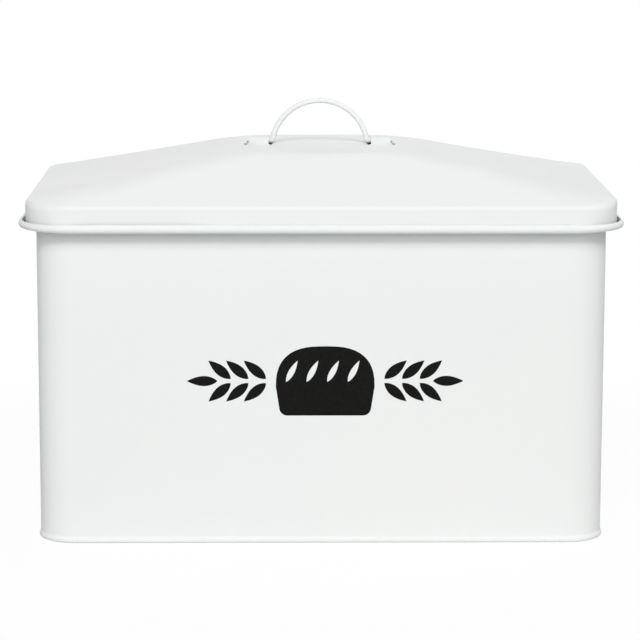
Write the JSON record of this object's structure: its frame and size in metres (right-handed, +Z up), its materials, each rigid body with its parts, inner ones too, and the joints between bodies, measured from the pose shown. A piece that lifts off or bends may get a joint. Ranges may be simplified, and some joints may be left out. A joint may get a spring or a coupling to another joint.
{
  "type": "bread bin",
  "caption": "Rectangular coated steel bread bin with rounded corners, a lift-off hipped lid with a rolled edge, and a wire hoop handle that folds flat.",
  "frame": {"origin": "middle of the foot's outline, on the surface the bin stands on", "axes": "+X along the bin's width, to the right seen from the front; -Y out of the front; +Z up"},
  "size_m": [0.344, 0.218, 0.2468],
  "materials": {
    "coat": "smooth off-white powder coat, semi-gloss",
    "wire": "bright drawn steel wire, hidden in the rolled edges",
    "print": "black printed motif on the front"
  },
  "bodies": {
    "bin": {"body_wall": "coat", "base_plate": "coat", "rim_wire": "wire"},
    "lid": {"lid_cover": "coat", "lid_wire": "wire"},
    "handle": {"handle_bail": "coat"}
  },
  "joints": [
    {"name": "lid_lift", "type": "slide", "parent": "bin", "child": "lid", "axis": [0, 0, 1], "range_m": [0, 0.25]},
    {"name": "handle_swing", "type": "hinge", "parent": "lid", "child": "handle", "pos_m": [0, 0, 0.22049], "axis": [1, 0, 0], "range_deg": [-90, 90]}
  ]
}
